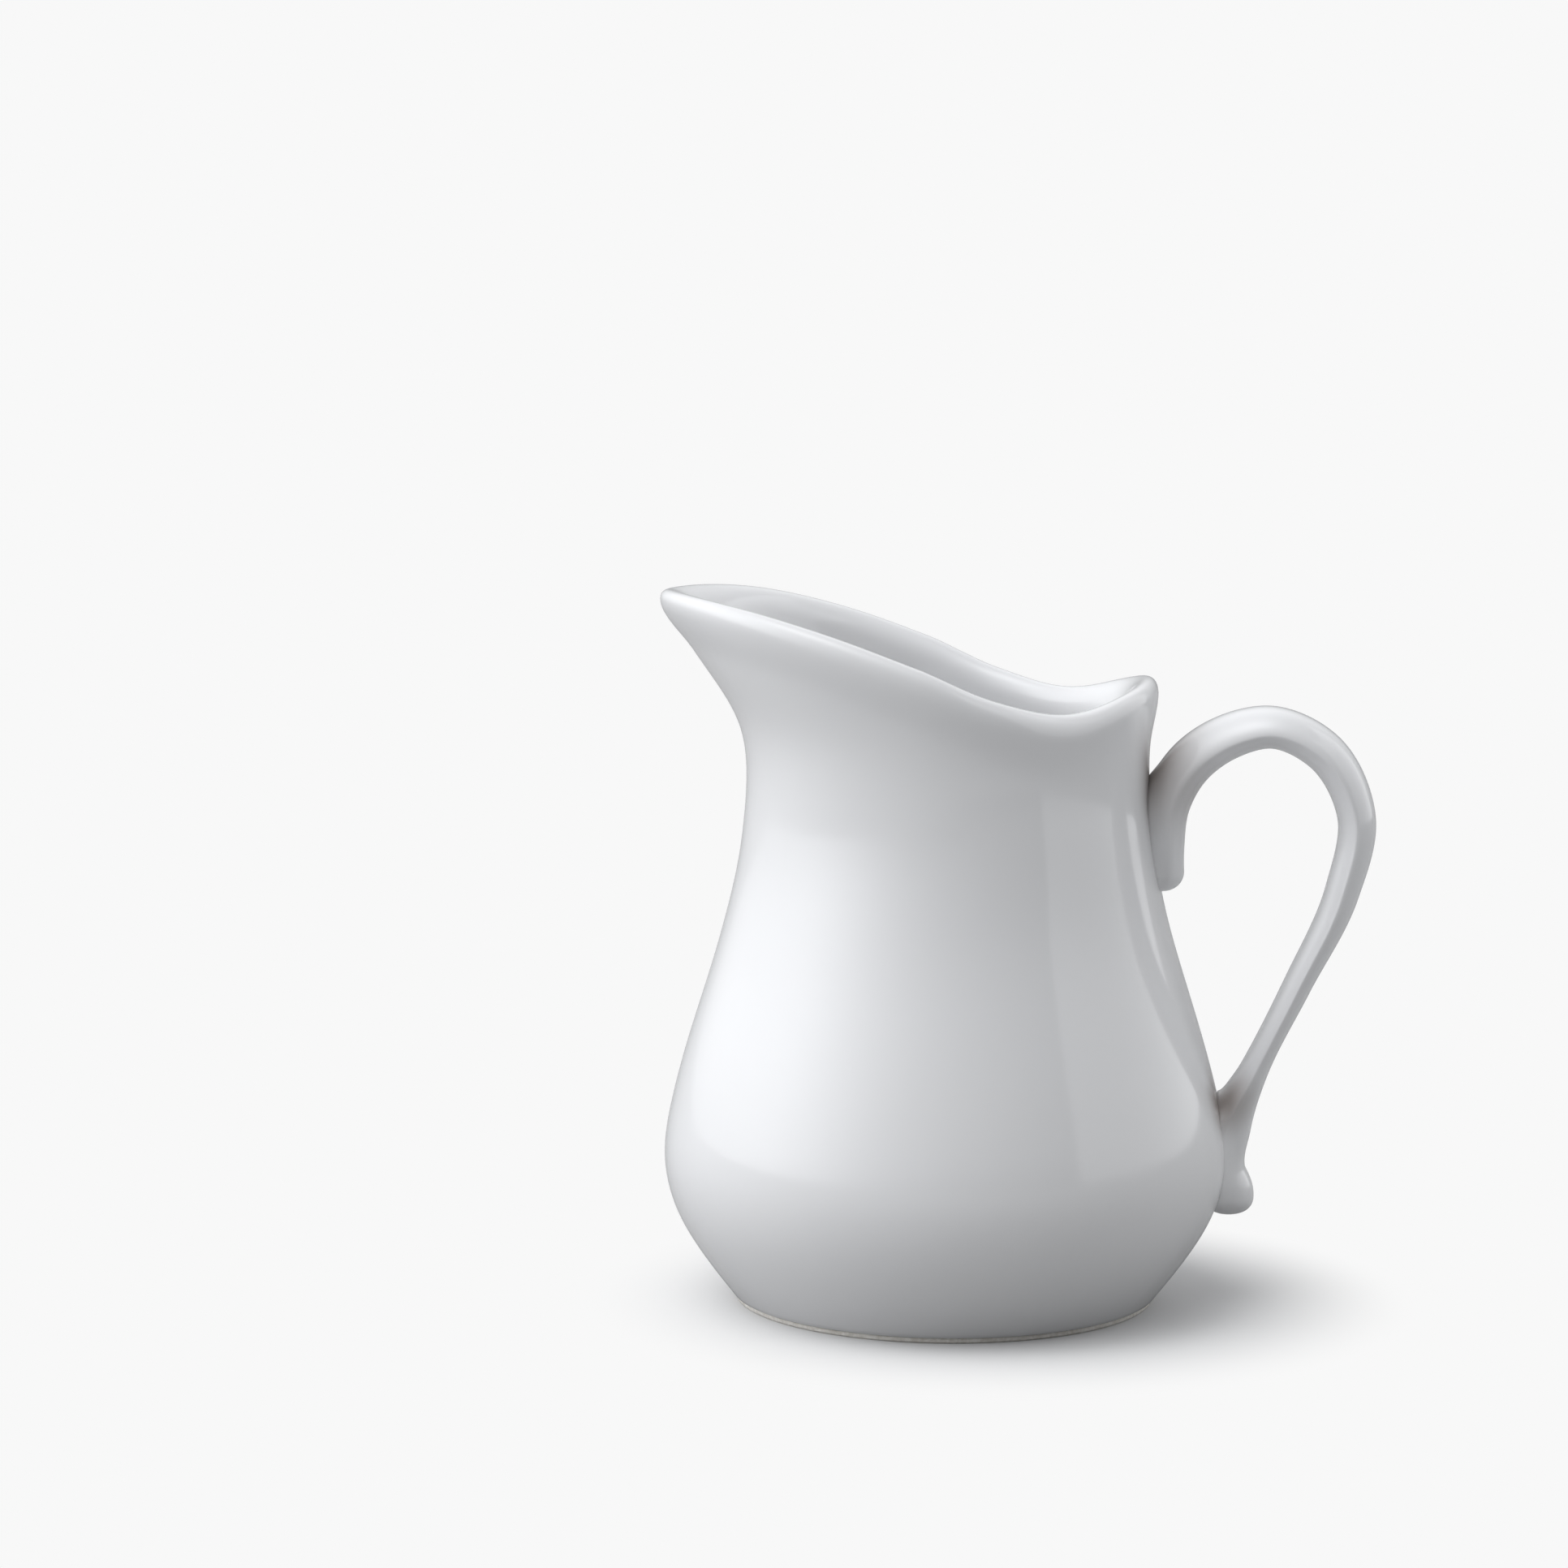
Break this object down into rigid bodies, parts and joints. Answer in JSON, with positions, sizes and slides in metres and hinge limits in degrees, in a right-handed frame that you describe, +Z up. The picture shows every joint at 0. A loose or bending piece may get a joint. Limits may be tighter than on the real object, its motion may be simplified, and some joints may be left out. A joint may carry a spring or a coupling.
{
  "type": "pitcher",
  "caption": "White glazed porcelain milk jug: pear-shaped body, sloping mouth with a pointed pouring spout, peaked back rim and a loop handle on a round foot ring.",
  "frame": {"origin": "centre of the foot ring, on the plane that the jug stands on", "axes": "+Z up, +X from the jug's axis towards the handle, -X towards the spout, Y across"},
  "size_m": [0.1293, 0.102, 0.1295],
  "materials": {
    "glazed_porcelain": "glossy white glaze",
    "unglazed_foot": "matt biscuit"
  },
  "bodies": {
    "root": {"jug_body": "glazed_porcelain", "foot_ring": "unglazed_foot", "handle": "glazed_porcelain", "upper_handle_lute": "glazed_porcelain", "lower_handle_lute": "glazed_porcelain"}
  },
  "joints": []
}
